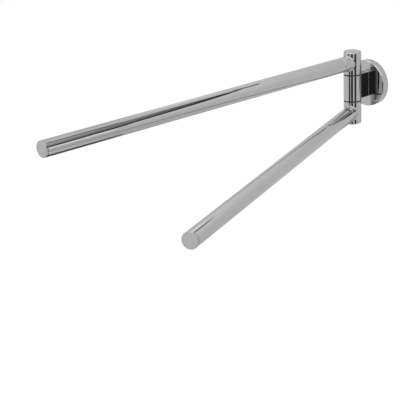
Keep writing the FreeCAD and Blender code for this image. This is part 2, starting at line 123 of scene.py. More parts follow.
class TowelBarSizes(bpy.types.PropertyGroup):
    """Edges, walls and holes of the pieces that are remade smooth."""

    rosette_rim: length("Rosette rim", "Wall of the rosette's rim", 1.8 * MM)
    rosette_face: length("Rosette face", "Thickness of the rosette's face", 3.0 * MM)
    rosette_bevel: length("Rosette bevel", "Bright bevel round the rosette's face", 0.6 * MM)
    post_bevel: length("Post bevel", "Bevel on the post's long edges", 0.4 * MM)
    foot_fillet: length("Foot fillet", "Fillet where the post stands on the rosette", 0.3 * MM)
    screw_passage: length("Screw passage", "Radius of the hole for the post's screw", 2.7 * MM)
    pin_radius: length("Pin radius", "Radius of the hinge pin", 4.0 * MM)
    hub_round: length("Hub round", "Rounding of the hub's outer edge", 1.2 * MM)
    seam_bevel: length("Seam bevel", "Bevel on each side of a seam", 0.15 * MM)
    seam_spread: length("Seam spread", "Washer's extra thickness on each side", 0.15 * MM)
    washer_inset: length("Washer inset", "Washer's edge inside the column's surface", 0.3 * MM)
    neck_blend: length("Neck blend", "Fillet above and below the neck", 1.0 * MM)
    neck_side_blend: length("Neck side blend", "Fillet at the neck's sides", 4.0 * MM)
    butt_bevel: length("Butt bevel", "Bevel where the tube butts on the neck or cap", 0.2 * MM)
    stud_radius: length("Stud radius", "Radius of the stud in the neck", 4.0 * MM)
    stud_depth: length("Stud depth", "Depth of the stud's hole in the neck", 9.0 * MM)
    tube_wall: length("Tube wall", "Wall of the arm's tube", 1.0 * MM)
    cap_gap: length("Cap gap", "Open gap between the tube's end and the cap", 0.25 * MM)
    cap_round: length("Cap round", "Rounding of the end cap's face", 0.4 * MM)
    retainer_radius: length("Retainer radius", "Radius of the hub's grub screw", 2.5 * MM)
    retainer_rise: length("Retainer rise", "Grub screw above the solid's seam face", 16.2 * MM)
    steps_round: IntProperty(name="Steps round", description="Flats round a turned piece",
                             default=192, min=24, max=512)


class TowelBarFinishes(bpy.types.PropertyGroup):
    """Colours and gloss of the finishes."""

    chrome: colour("Chrome", "Colour of the polished chrome", (0.604, 0.609, 0.606))
    chrome_haze: share("Chrome haze", "Roughness of the polished chrome", 0.012)
    zinc: colour("Zinc", "Colour of the zinc-plated wall plate", (0.46, 0.46, 0.44))
    steel: colour("Steel", "Colour of the screws and studs", (0.44, 0.44, 0.43))
    pin: colour("Pin", "Colour of the ground hinge pin", (0.52, 0.52, 0.52))
    spring: colour("Spring", "Colour of the tempered disc springs", (0.20, 0.18, 0.16))
    brass: colour("Brass", "Colour of the tube inserts", (0.62, 0.44, 0.19))
    acetal: colour("Acetal", "Colour of the washers and bushes", (0.010, 0.010, 0.011))
    rubber: colour("Rubber", "Colour of the cap rings", (0.015, 0.015, 0.015))


class TowelBarStudio(bpy.types.PropertyGroup):
    """Floor, light and camera."""

    floor_depth: length("Floor depth", "Floor below the middle of the column", 0.9)
    backdrop: share("Backdrop", "Brightness of the studio as metal sees it", 0.70)
    fill: share("Fill", "Strength of the light from all round", 0.55)
    lens: FloatProperty(name="Lens", description="Focal length of the camera in millimetres",
                        default=122.42, min=20.0, unit="CAMERA")


# ---------------------------------------------------------------- meshes


def spun(corners, rounds=(), closed=False, steps=None):
    """Spin a profile of (radius, height) corners about Z.

    rounds gives (corner number, radius, segments) for the corners that are eased. A profile
    that isn't closed starts and ends on the axis.
    """
    steps = steps or bpy.context.scene.towel_bar_sizes.steps_round
    bm = bmesh.new()
    verts = [bm.verts.new((radius, 0, height)) for radius, height in corners]
    following = verts[1:] + (verts[:1] if closed else [])
    for start, end in zip(verts, following):
        bm.edges.new((start, end))
    for number, radius, segments in rounds:
        bmesh.ops.bevel(bm, geom=[verts[number]], offset=radius, offset_type="OFFSET",
                        segments=segments, profile=0.5, affect="VERTICES", material=-1)
    bmesh.ops.spin(bm, geom=bm.verts[:] + bm.edges[:], cent=(0, 0, 0), axis=(0, 0, 1),
                   angle=WHOLE_TURN, steps=steps, use_merge=True, use_duplicate=False)
    bmesh.ops.remove_doubles(bm, verts=bm.verts, dist=SAME_PLACE)
    bmesh.ops.recalc_face_normals(bm, faces=bm.faces)
    return bm


def rod(radius, reach, place, steps=64):
    """A plain rod from the origin up Z, used as a cutter."""
    bm = bmesh.new()
    bmesh.ops.create_cone(bm, cap_ends=True, segments=steps, radius1=radius, radius2=radius,
                          depth=reach)
    bmesh.ops.translate(bm, verts=bm.verts, vec=(0, 0, reach / 2))
    bmesh.ops.transform(bm, matrix=place, verts=bm.verts)
    return bm


def block(half, middle):
    """A plain block, used as a cutter or as the start of a piece."""
    bm = bmesh.new()
    place = Matrix.Translation(middle) @ Matrix.Diagonal((*half, 1))
    bmesh.ops.create_cube(bm, size=2, matrix=place)
    return bm


def everything(bm):
    """Every vertex, edge and face of a mesh."""
    return bm.verts[:] + bm.edges[:] + bm.faces[:]


def open_edges(bm):
    """The edges that have a face on one side only."""
    return [edge for edge in bm.edges if edge.is_boundary]


def keep_below(bm, level):
    """Cut an upright rod off at a level and close it again."""
    bmesh.ops.bisect_plane(bm, geom=everything(bm), plane_co=(0, 0, level), plane_no=(0, 0, 1),
                           clear_outer=True)
    bmesh.ops.holes_fill(bm, edges=open_edges(bm))


def to_object(name, bm, place=None):
    """Put a mesh in the scene under a name, with its place in its mesh."""
    if place is not None:
        bmesh.ops.transform(bm, matrix=place, verts=bm.verts)
    mesh = bpy.data.meshes.new(name)
    bm.to_mesh(mesh)
    bm.free()
    obj = bpy.data.objects.new(name, mesh)
    bpy.context.scene.collection.objects.link(obj)
    return obj


def cut(obj, *cutters):
    """Take cutters away from a piece, one after the other."""
    for cutter_mesh in cutters:
        cutter = to_object("cutter", cutter_mesh)
        step = obj.modifiers.new("Cut", "BOOLEAN")
        step.operation = "DIFFERENCE"
        step.solver = "EXACT"
        step.object = cutter
        depsgraph = bpy.context.evaluated_depsgraph_get()
        result = bpy.data.meshes.new_from_object(obj.evaluated_get(depsgraph))
        obj.modifiers.remove(step)
        obj.data = result
        bpy.data.objects.remove(cutter)


def check_closed(obj):
    """Stop if a piece has an open or shared edge, or is inside out."""
    bm = bmesh.new()
    bm.from_mesh(obj.data)
    faults = sum(1 for edge in bm.edges if not edge.is_manifold)
    volume = bm.calc_volume(signed=True)
    bm.free()
    if faults or volume <= 0:
        raise RuntimeError("%s has %d faulty edges, volume %g" % (obj.name, faults, volume))


def finish_piece(obj, body, node, slot):
    """Shade a piece smooth, give it its finish and put it in the place of its node."""
    mesh = obj.data
    for polygon in mesh.polygons:
        polygon.use_smooth = True
    mesh.set_sharp_from_angle(angle=SHARP_ANGLE)
    shading = obj.modifiers.new("Even shading", "WEIGHTED_NORMAL")
    shading.keep_sharp = True
    mesh.materials.clear()
    mesh.materials.append(finish(slot))
    check_closed(obj)
    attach(obj, body)
    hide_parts(node)


# ---------------------------------------------------------------- hub


# The hub's shell is a net of spokes and rings round the neck. Its spokes end along the bottom
# edge, up the back (below, beside and above the grub screw's hole) and along the top edge. Each
# angle is that of the spoke, seen from the neck's end, at which the next stretch begins.
SPOKES_ALONG_EDGE = 56
SPOKES_UP_BACK = (22, 16, 8)
BOTTOM_CORNER_ANGLE = math.radians(-55)
HOLE_ANGLES = (math.radians(5), math.radians(47.5))
TOP_CORNER_ANGLE = math.radians(62)
RINGS_ROUND_HUB = 44
RING_CROWDING = 1.25
RINGS_IN_BLEND = 7
STEPS_IN_HUB_ROUND = 8


def between(start, end, count):
    """Evenly spaced numbers from a start up to, but without, the end."""
    return [start + (end - start) * step / count for step in range(count)]


def wrap_edge(sizes):
    """Edge of the hub's shell laid flat, as (spoke angle, turn, height) of each spoke's end.

    The right half runs from the bottom in front, round to the back, up past half of the grub
    screw's hole, and along the top to the front again, and the left half mirrors it. Turn is 0
    in front and half a turn behind.
    """
    bottom = SEAM_TOP + sizes.seam_spread + sizes.seam_bevel
    top = HUB_TOP - sizes.hub_round
    hole_z = SEAM_TOP + sizes.retainer_rise
    hole = sizes.retainer_radius
    below, beside, above = SPOKES_UP_BACK
    angles = (between(-SQUARE, BOTTOM_CORNER_ANGLE, SPOKES_ALONG_EDGE)
              + between(BOTTOM_CORNER_ANGLE, HOLE_ANGLES[0], below)
              + between(*HOLE_ANGLES, beside)
              + between(HOLE_ANGLES[1], TOP_CORNER_ANGLE, above)
              + between(TOP_CORNER_ANGLE, SQUARE, SPOKES_ALONG_EDGE))
    half_hole = [(HALF_TURN - math.asin(hole * math.cos(angle) / COLUMN_RADIUS),
                  hole_z + hole * math.sin(angle))
                 for angle in between(-SQUARE, SQUARE, beside)]
    places = ([(turn, bottom) for turn in between(0, HALF_TURN, SPOKES_ALONG_EDGE)]
              + [(HALF_TURN, z) for z in between(bottom, hole_z - hole, below)]
              + half_hole
              + [(HALF_TURN, z) for z in between(hole_z + hole, top, above)]
              + [(turn, top) for turn in between(HALF_TURN, 0, SPOKES_ALONG_EDGE)])
    right = [(angle, turn, z) for angle, (turn, z) in zip(angles, places)]
    left = [(HALF_TURN - angle, -turn, z) for angle, turn, z in reversed(right[1:])]
    return right + [(SQUARE, 0.0, top)] + left


def on_column(radius, turn, z):
    """A point on a cylinder about the column, turn measured from -Y towards +X."""
    return Vector((radius * math.sin(turn), -radius * math.cos(turn), z))


def extrude_ring(bm, edges, move):
    """Extrude a ring of edges and move each new vertex; return the new ring."""
    made = bmesh.ops.extrude_edge_only(bm, edges=edges)["geom"]
    fresh = {item for item in made if isinstance(item, bmesh.types.BMVert)}
    for vert in fresh:
        vert.co = move(vert)
    return [item for item in made if isinstance(item, bmesh.types.BMEdge)
            and all(vert in fresh for vert in item.verts)]


def close_ring(bm, edges):
    """Close a ring of edges with one flat face."""
    bmesh.ops.edgeloop_fill(bm, edges=edges)


def resized(radius, z):
    """A move for extrude_ring: straight out from the axis to a radius and a level."""
    def move(vert):
        out = Vector((vert.co.x, vert.co.y, 0)).normalized() * radius
        return Vector((out.x, out.y, z))
    return move


def hub_mesh(sizes):
    """One hub and its neck, in the upper arm's frame, drawn out from the neck's end."""
    neck = ARM_RADIUS
    edge = wrap_edge(sizes)
    spoke_angles = [angle for angle, turn, z in edge]
    bm = bmesh.new()
    spoke = bm.verts.layers.int.new("spoke")
    ring = bmesh.ops.create_circle(bm, cap_ends=True, segments=len(edge), radius=neck)["verts"]

    def neck_ring(radius, reach):
        """Points round the neck's axis, at a reach from the column's axis."""
        return [Vector((radius * math.cos(angle), -reach, ARM_Z + radius * math.sin(angle)))
                for angle in spoke_angles]

    def blend_ring(part):
        """Points on the fillet: a ball's path that touches the neck and the hub."""
        points = []
        for angle in spoke_angles:
            blend = (sizes.neck_blend
                     + (sizes.neck_side_blend - sizes.neck_blend) * math.cos(angle) ** 2)
            across = (neck + blend) * math.cos(angle)
            centre = Vector((across, -math.sqrt((COLUMN_RADIUS + blend) ** 2 - across ** 2),
                             ARM_Z + (neck + blend) * math.sin(angle)))
            to_neck = Vector((-math.cos(angle), 0, -math.sin(angle)))
            to_hub = -Vector((centre.x, centre.y, 0)).normalized()
            points.append(centre + blend * to_neck.slerp(to_hub, part))
        return points

    hub_contact = blend_ring(1.0)

    def shell_ring(part):
        """Points on the hub's shell, from the fillet out to the edge of the laid-out shell."""
        points = []
        for start, (angle, turn, z) in zip(hub_contact, edge):
            start_turn = math.atan2(start.x, -start.y)
            points.append(on_column(COLUMN_RADIUS, start_turn + (turn - start_turn) * part,
                                    start.z + (z - start.z) * part))
        return points

    stud_floor = NECK_REACH - sizes.stud_depth
    for number, (vert, place) in enumerate(zip(ring, neck_ring(sizes.stud_radius, stud_floor))):
        vert[spoke] = number
        vert.co = place
    edges = bm.edges[:]
    rings = [
        neck_ring(sizes.stud_radius, NECK_REACH),
        neck_ring(neck - sizes.butt_bevel, NECK_REACH),
        neck_ring(neck, NECK_REACH - sizes.butt_bevel),
        *(blend_ring(part) for part in between(0, 1, RINGS_IN_BLEND)),
        hub_contact,
        *(shell_ring((step / RINGS_ROUND_HUB) ** RING_CROWDING)
          for step in range(1, RINGS_ROUND_HUB + 1)),
    ]
    for places in rings:
        edges = extrude_ring(bm, edges, lambda vert: places[vert[spoke]])
    bmesh.ops.remove_doubles(bm, verts=bm.verts, dist=SAME_PLACE)
    finish_hub_ends(bm, sizes)
    bmesh.ops.recalc_face_normals(bm, faces=bm.faces)
    return bm


def open_ring(bm, level):
    """The open edges that lie at one level."""
    return [edge for edge in open_edges(bm)
            if all(abs(vert.co.z - level) < SAME_PLACE for vert in edge.verts)]


def finish_hub_ends(bm, sizes):
    """Round the hub's outer end, bevel and bore its seam end, sink the grub screw's hole."""
    round_start = HUB_TOP - sizes.hub_round
    edges = open_ring(bm, round_start)
    for step in range(1, STEPS_IN_HUB_ROUND + 1):
        angle = SQUARE * step / STEPS_IN_HUB_ROUND
        radius = COLUMN_RADIUS - sizes.hub_round * (1 - math.cos(angle))
        level = round_start + sizes.hub_round * math.sin(angle)
        edges = extrude_ring(bm, edges, resized(radius, level))
    close_ring(bm, edges)

    seam_face = SEAM_TOP + sizes.seam_spread
    bush_radius = 5.5 * MM
    bush_top = SEAM_TOP + 13.0 * MM
    pin_clearance = 4.3 * MM
    bore_top = SEAM_TOP + 20.2 * MM
    edges = open_ring(bm, seam_face + sizes.seam_bevel)
    for radius, level in ((COLUMN_RADIUS - sizes.seam_bevel, seam_face),
                          (bush_radius, seam_face), (bush_radius, bush_top),
                          (pin_clearance, bush_top), (pin_clearance, bore_top)):
        edges = extrude_ring(bm, edges, resized(radius, level))
    close_ring(bm, edges)

    hole_floor = 4.4 * MM
    edges = extrude_ring(bm, open_edges(bm),
                         lambda vert: Vector((vert.co.x, hole_floor, vert.co.z)))
    close_ring(bm, edges)


# ---------------------------------------------------------------- finishes


# A Mix node's colour sockets go by number, because its other sockets share their names.
MIX_FIRST, MIX_SECOND, MIX_RESULT = 6, 7, 2


def add_node(tree, kind, values=None, **settings):
    """A new shader node with its settings, and plain values on its inputs."""
    node = tree.nodes.new("ShaderNode" + kind)
    for setting, value in settings.items():
        setattr(node, setting, value)
    for socket, value in (values or {}).items():
        node.inputs[socket].default_value = value
    return node


def node_group(name, inputs, outputs):
    """A shader node group with its named sockets and its two end nodes."""
    group = bpy.data.node_groups.new(name, "ShaderNodeTree")
    for label, kind, default in inputs:
        socket = group.interface.new_socket(name=label, in_out="INPUT", socket_type=kind)
        socket.default_value = default
    for label, kind in outputs:
        group.interface.new_socket(name=label, in_out="OUTPUT", socket_type=kind)
    return group, group.nodes.new("NodeGroupInput"), group.nodes.new("NodeGroupOutput")


def polish_group():
    """Faint haze and waviness that buffing leaves on metal."""
    group, given, result = node_group(
        "Buffed metal",
        (("Haze", "NodeSocketFloat", 0.04), ("Haze Spread", "NodeSocketFloat", 0.5),
         ("Scale", "NodeSocketFloat", 60.0)),
        (("Roughness", "NodeSocketFloat"), ("Height", "NodeSocketFloat")))
    links = group.links
    place = add_node(group, "TexCoord")
    haze = add_node(group, "TexNoise", {"Detail": 4.0})
    links.new(place.outputs["Object"], haze.inputs["Vector"])
    links.new(given.outputs["Scale"], haze.inputs["Scale"])
    swing = add_node(group, "MapRange", {"From Min": 0.3, "From Max": 0.7, "To Min": -1.0})
    links.new(haze.outputs["Fac"], swing.inputs["Value"])
    spread = add_node(group, "Math", {2: 1.0}, operation="MULTIPLY_ADD")
    links.new(swing.outputs["Result"], spread.inputs[0])
    links.new(given.outputs["Haze Spread"], spread.inputs[1])
    level = add_node(group, "Math", operation="MULTIPLY")
    links.new(given.outputs["Haze"], level.inputs[0])
    links.new(spread.outputs["Value"], level.inputs[1])
    links.new(level.outputs["Value"], result.inputs["Roughness"])
    wave = add_node(group, "TexNoise", {"Scale": 35.0, "Detail": 1.0})
    links.new(place.outputs["Object"], wave.inputs["Vector"])
    links.new(wave.outputs["Fac"], result.inputs["Height"])
    return group


def drift_group():
    """Slow drift between two close tints, as plating and tempering leave."""
    group, given, result = node_group(
        "Tint drift",
        (("Tint", "NodeSocketColor", (0.5, 0.5, 0.5, 1)),
         ("Other Tint", "NodeSocketColor", (0.4, 0.4, 0.4, 1)),
         ("Scale", "NodeSocketFloat", 40.0)),
        (("Color", "NodeSocketColor"),))
    links = group.links
    place = add_node(group, "TexCoord")
    cloud = add_node(group, "TexNoise", {"Detail": 3.0})
    links.new(place.outputs["Object"], cloud.inputs["Vector"])
    links.new(given.outputs["Scale"], cloud.inputs["Scale"])
    mask = add_node(group, "MapRange", {"From Min": 0.35, "From Max": 0.65})
    links.new(cloud.outputs["Fac"], mask.inputs["Value"])
    mix = add_node(group, "Mix", data_type="RGBA")
    links.new(mask.outputs["Result"], mix.inputs["Factor"])
    links.new(given.outputs["Tint"], mix.inputs[MIX_FIRST])
    links.new(given.outputs["Other Tint"], mix.inputs[MIX_SECOND])
    links.new(mix.outputs[MIX_RESULT], result.inputs["Color"])
    return group


def grain_group():
    """Fine moulded grain of plastic and rubber."""
    group, given, result = node_group(
        "Moulded grain",
        (("Scale", "NodeSocketFloat", 900.0), ("Roughness", "NodeSocketFloat", 0.5),
         ("Roughness Spread", "NodeSocketFloat", 0.1)),
        (("Roughness", "NodeSocketFloat"), ("Height", "NodeSocketFloat")))
    links = group.links
    place = add_node(group, "TexCoord")
    cells = add_node(group, "TexVoronoi")
    links.new(place.outputs["Object"], cells.inputs["Vector"])
    links.new(given.outputs["Scale"], cells.inputs["Scale"])
    spread = add_node(group, "Math", operation="MULTIPLY_ADD")
    links.new(cells.outputs["Distance"], spread.inputs[0])
    links.new(given.outputs["Roughness Spread"], spread.inputs[1])
    links.new(given.outputs["Roughness"], spread.inputs[2])
    links.new(spread.outputs["Value"], result.inputs["Roughness"])
    links.new(cells.outputs["Distance"], result.inputs["Height"])
    return group


GROUP_MAKERS = {"Buffed metal": polish_group, "Tint drift": drift_group,
                "Moulded grain": grain_group}
GROUPS = {}


def place_group(tree, name, values):
    """Place one of the shared groups with its values, building it the first time."""
    if name not in GROUPS:
        GROUPS[name] = GROUP_MAKERS[name]()
    return add_node(tree, "Group", values, node_tree=GROUPS[name])


def start_material(name):
    """A new material with its node tree and its Principled BSDF."""
    material = bpy.data.materials.new(name)
    material.use_nodes = True
    return material, material.node_tree, material.node_tree.nodes["Principled BSDF"]


def add_tint(tree, shader, tint, other_share, scale):
    """Let the shader's colour drift between a tint and a share of it."""
    drift = place_group(tree, "Tint drift", {
        "Tint": (*tint, 1), "Other Tint": (*(part * other_share for part in tint), 1),
        "Scale": scale})
    tree.links.new(drift.outputs["Color"], shader.inputs["Base Color"])


def add_surface(tree, shader, source, strength, distance):
    """Give the shader a group's roughness, and its height through a Bump node."""
    tree.links.new(source.outputs["Roughness"], shader.inputs["Roughness"])
    bump = add_node(tree, "Bump", {"Strength": strength, "Distance": distance})
    tree.links.new(source.outputs["Height"], bump.inputs["Height"])
    tree.links.new(bump.outputs["Normal"], shader.inputs["Normal"])


def metal(name, tint, other_share, haze, haze_spread, scale, wave):
    """A metal finish: drifting tint, uneven haze and a faint waviness."""
    material, tree, shader = start_material(name)
    shader.inputs["Metallic"].default_value = 1.0
    add_tint(tree, shader, tint, other_share, scale)
    polish = place_group(tree, "Buffed metal", {
        "Haze": haze, "Haze Spread": haze_spread, "Scale": scale * 2})
    add_surface(tree, shader, polish, strength=wave, distance=0.1 * MM)
    return material


def moulded(name, tint, roughness, scale, bump):
    """A dark moulded finish with a fine grain."""
    material, tree, shader = start_material(name)
    add_tint(tree, shader, tint, other_share=1.6, scale=300.0)
    grain = place_group(tree, "Moulded grain", {"Scale": scale, "Roughness": roughness})
    add_surface(tree, shader, grain, strength=bump, distance=0.05 * MM)
    return material


def chrome_plate(name, finishes):
    """Polished chrome of the outer pieces."""
    return metal(name, finishes.chrome, other_share=0.97, haze=finishes.chrome_haze,
                 haze_spread=0.5, scale=45, wave=0.02)


def zinc_plate(name, finishes):
    """Zinc plating on the pressed wall plate."""
    return metal(name, finishes.zinc, other_share=0.72, haze=0.34, haze_spread=0.35,
                 scale=160, wave=0.4)


def screw_steel(name, finishes):
    """Plain steel of the screws and studs."""
    return metal(name, finishes.steel, other_share=0.85, haze=0.26, haze_spread=0.4,
                 scale=220, wave=0.3)


def pin_steel(name, finishes):
    """Ground steel of the hinge pin."""
    return metal(name, finishes.pin, other_share=0.94, haze=0.16, haze_spread=0.4,
                 scale=120, wave=0.1)


def spring_steel(name, finishes):
    """Dark tempered steel of the disc springs."""
    return metal(name, finishes.spring, other_share=0.6, haze=0.3, haze_spread=0.3,
                 scale=260, wave=0.2)


def brass_insert(name, finishes):
    """Turned brass of the tubes' inserts."""
    return metal(name, finishes.brass, other_share=0.85, haze=0.22, haze_spread=0.4,
                 scale=140, wave=0.2)


def dark_acetal(name, finishes):
    """Black plastic of the washers and bushes."""
    return moulded(name, finishes.acetal, roughness=0.55, scale=1400, bump=0.2)


def black_rubber(name, finishes):
    """Matt rubber of the rings that hold the end caps."""
    return moulded(name, finishes.rubber, roughness=0.75, scale=900, bump=0.5)


FINISH_MAKERS = {maker.__name__: maker for maker in (
    chrome_plate, zinc_plate, screw_steel, pin_steel, spring_steel, brass_insert, dark_acetal,
    black_rubber)}
FINISHES = {}


def finish(slot):
    """The material of one of the record's slots, made the first time it is asked for."""
    if slot not in FINISHES:
        FINISHES[slot] = FINISH_MAKERS[slot](slot, bpy.context.scene.towel_bar_finishes)
    return FINISHES[slot]


# ---------------------------------------------------------------- operators for the pieces


class TOWELBAR_OT_rosette(bpy.types.Operator):
    """Build the round wall rosette with its bright bevel"""

    bl_idname = "towelbar.rosette"
    bl_label = "Rosette"

    def execute(self, context):
        sizes = context.scene.towel_bar_sizes
        depth = -ROSETTE_FACE_Y
        rim_inside = ROSETTE_RADIUS - sizes.rosette_rim
        face_inside = depth - sizes.rosette_face
        bevel = sizes.rosette_bevel
        edge_ease = 0.12 * MM
        bm = spun((
            (0, depth), (ROSETTE_RADIUS - bevel, depth), (ROSETTE_RADIUS, depth - bevel),
            (ROSETTE_RADIUS, 0), (rim_inside, 0), (rim_inside, face_inside), (0, face_inside),
        ), rounds=((1, edge_ease, 3), (2, edge_ease, 3)))
        obj = to_object("rosette_cover", bm, TO_FRONT)
        seat = block((POST_HALF_WIDTH, POST_SEAT_Y - ROSETTE_FACE_Y, POST_HALF_HEIGHT),
                     (0, ROSETTE_FACE_Y, 0))
        passage = rod(sizes.screw_passage, 2 * depth, TO_FRONT)
        lock_y = (low("rosette_screw").y + high("rosette_screw").y) / 2
        lock = rod(high("rosette_screw").x, ROSETTE_RADIUS * 2,
                   Matrix.Translation((0, lock_y, -ROSETTE_RADIUS * 2)))
        overlap = 2 * MM
        keep_below(lock, overlap - rim_inside)
        cut(obj, seat, passage, lock)
        finish_piece(obj, "bracket", "rosette", "chrome_plate")
        return {"FINISHED"}


def flare_foot(bm, fillet):
    """Spread the post into a small hollow fillet where it stands on the rosette.

    Just inside the rosette's face, the post has its plain section again.
    """
    steps = 5
    angles = [SQUARE * step / steps for step in range(1, steps + 1)]
    flares = [(ROSETTE_FACE_Y - fillet * (1 - math.sin(angle)), fillet * (1 - math.cos(angle)))
              for angle in angles]
    plain_level = ROSETTE_FACE_Y + 0.02 * MM
    for level in [level for level, spread in flares] + [plain_level]:
        bmesh.ops.bisect_plane(bm, geom=everything(bm), plane_co=(0, level, 0),
                               plane_no=(0, 1, 0), dist=SAME_PLACE)
    for level, spread in flares:
        for vert in bm.verts:
            if abs(vert.co.y - level) < SAME_PLACE:
                vert.co.x += math.copysign(spread, vert.co.x)
                vert.co.z += math.copysign(spread, vert.co.z)


class TOWELBAR_OT_post_bar(bpy.types.Operator):
    """Build the flat post that carries the column"""

    bl_idname = "towelbar.post_bar"
    bl_label = "Post"

    def execute(self, context):
        sizes = context.scene.towel_bar_sizes
        middle = (POST_SEAT_Y + COLUMN_Y) / 2
        bm = block((POST_HALF_WIDTH, POST_SEAT_Y - middle, POST_HALF_HEIGHT), (0, middle, 0))
        long_edges = [edge for edge in bm.edges
                      if abs(edge.verts[0].co.y - edge.verts[1].co.y) > MM]
        bmesh.ops.bevel(bm, geom=long_edges, offset=sizes.post_bevel, offset_type="OFFSET",
                        segments=3, profile=0.5, affect="EDGES", material=-1)
        flare_foot(bm, sizes.foot_fillet)
        obj = to_object("post", bm)
        cope = rod(COLUMN_RADIUS, 4 * BARREL_TOP,
                   Matrix.Translation((0, COLUMN_Y, -2 * BARREL_TOP)), sizes.steps_round)
        passage = rod(sizes.screw_passage, -2 * COLUMN_Y, TO_FRONT)
        cut(obj, cope, passage)
        finish_piece(obj, "bracket", "post_bar", "chrome_plate")
        return {"FINISHED"}


class TOWELBAR_OT_barrel(bpy.types.Operator):
    """Build the fixed middle barrel of the column"""

    bl_idname = "towelbar.barrel"
    bl_label = "Barrel"

    def execute(self, context):
        sizes = context.scene.towel_bar_sizes
        inner = COLUMN_RADIUS - sizes.seam_bevel
        top = BARREL_TOP - sizes.seam_spread
        level = top - sizes.seam_bevel
        bm = spun((
            (sizes.pin_radius, -top), (inner, -top), (COLUMN_RADIUS, -level),
            (COLUMN_RADIUS, level), (inner, top), (sizes.pin_radius, top),
        ), closed=True)
        obj = to_object("column_barrel", bm, UPPER_PLACE)
        post_screw_radius = 2.5 * MM
        tapped = rod(post_screw_radius, COLUMN_RADIUS * 2, UPPER_PLACE @ TO_BACK)
        cut(obj, tapped)
        finish_piece(obj, "bracket", "barrel", "chrome_plate")
        return {"FINISHED"}


class TOWELBAR_OT_seam_washers(bpy.types.Operator):
    """Build the two dark washers that show as hairline seams"""

    bl_idname = "towelbar.seam_washers"
    bl_label = "Seam washers"

    def execute(self, context):
        sizes = context.scene.towel_bar_sizes
        inside = 4.2 * MM
        outside = COLUMN_RADIUS - sizes.washer_inset
        edge_ease = 0.1 * MM
        near = BARREL_TOP - sizes.seam_spread
        far = SEAM_TOP + sizes.seam_spread
        for side, bottom, top in (("upper", near, far), ("lower", -far, -near)):
            bm = spun((
                (inside, bottom), (outside, bottom), (outside, top), (inside, top),
            ), rounds=((1, edge_ease, 2), (2, edge_ease, 2)), closed=True)
            obj = to_object(side + "_thrust_washer", bm, UPPER_PLACE)
            finish_piece(obj, "bracket", side + "_seam_washer", "dark_acetal")
        return {"FINISHED"}


class TOWELBAR_OT_hubs(bpy.types.Operator):
    """Build the two turning hubs with their blended necks"""

    bl_idname = "towelbar.hubs"
    bl_label = "Hubs"

    def execute(self, context):
        for side, place in ARMS:
            bm = hub_mesh(context.scene.towel_bar_sizes)
            obj = to_object(side + "_swivel_hub", bm, place)
            finish_piece(obj, side + "_arm", side + "_hub", "chrome_plate")
        return {"FINISHED"}


class TOWELBAR_OT_tubes(bpy.types.Operator):
    """Build the two round arm tubes"""

    bl_idname = "towelbar.tubes"
    bl_label = "Arm tubes"

    def execute(self, context):
        sizes = context.scene.towel_bar_sizes
        bore = ARM_RADIUS - sizes.tube_wall
        bevel = sizes.butt_bevel
        end_bevel = bevel / 2
        end = TUBE_END - sizes.cap_gap
        for side, place in ARMS:
            bm = spun((
                (bore, NECK_REACH), (ARM_RADIUS - bevel, NECK_REACH),
                (ARM_RADIUS, NECK_REACH + bevel), (ARM_RADIUS, end - end_bevel),
                (ARM_RADIUS - end_bevel, end), (bore, end),
            ), closed=True)
            obj = to_object(side + "_arm_tube", bm, place @ ALONG_ARM)
            finish_piece(obj, side + "_arm", side + "_tube", "chrome_plate")
        return {"FINISHED"}


class TOWELBAR_OT_end_caps(bpy.types.Operator):
    """Build the two end caps: a flat disc on a grooved plug"""

    bl_idname = "towelbar.end_caps"
    bl_label = "End caps"

    def execute(self, context):
        sizes = context.scene.towel_bar_sizes
        plug = 6.7 * MM
        groove_floor = 5.5 * MM
        groove_start = TUBE_END - 3.75 * MM
        groove_end = TUBE_END - 5.25 * MM
        tip = TUBE_END - 9.0 * MM
        tip_bevel = 0.5 * MM
        bevel = sizes.butt_bevel
        for side, place in ARMS:
            bm = spun((
                (0, ARM_REACH), (ARM_RADIUS, ARM_REACH), (ARM_RADIUS, TUBE_END + bevel),
                (ARM_RADIUS - bevel, TUBE_END), (plug, TUBE_END), (plug, groove_start),
                (groove_floor, groove_start), (groove_floor, groove_end), (plug, groove_end),
                (plug, tip + tip_bevel), (plug - tip_bevel, tip), (0, tip),
            ), rounds=((1, sizes.cap_round, 6),))
            obj = to_object(side + "_arm_cap", bm, place @ ALONG_ARM)
            finish_piece(obj, side + "_arm", side + "_end_cap", "chrome_plate")
        return {"FINISHED"}


class TOWELBAR_OT_grub_screws(bpy.types.Operator):
    """Build the grub screws at the back of the hubs, with their hexagon sockets"""

    bl_idname = "towelbar.grub_screws"
    bl_label = "Grub screws"

    def execute(self, context):
        sizes = context.scene.towel_bar_sizes
        point = 1.3 * MM
        tip = 3.3 * MM
        shoulder = 4.6 * MM
        top = COLUMN_RADIUS - 0.5 * MM
        edge_ease = 0.2 * MM
        key_size = 2.5 * MM
        socket_depth = 1.4 * MM
        for side, place in ARMS:
            seat = place @ Matrix.Translation((0, 0, SEAM_TOP + sizes.retainer_rise)) @ TO_BACK
            bm = spun((
                (0, tip), (point, tip), (point, shoulder), (sizes.retainer_radius, shoulder),
                (sizes.retainer_radius, top), (0, top),
            ), rounds=((4, edge_ease, 2),), steps=64)
            obj = to_object(side + "_grub_screw", bm, seat)
            socket = rod(key_size / math.sqrt(3), 2 * socket_depth,
                         seat @ Matrix.Translation((0, 0, top - socket_depth)), steps=6)
            cut(obj, socket)
            finish_piece(obj, side + "_arm", side + "_retaining_screw", "screw_steel")
        return {"FINISHED"}


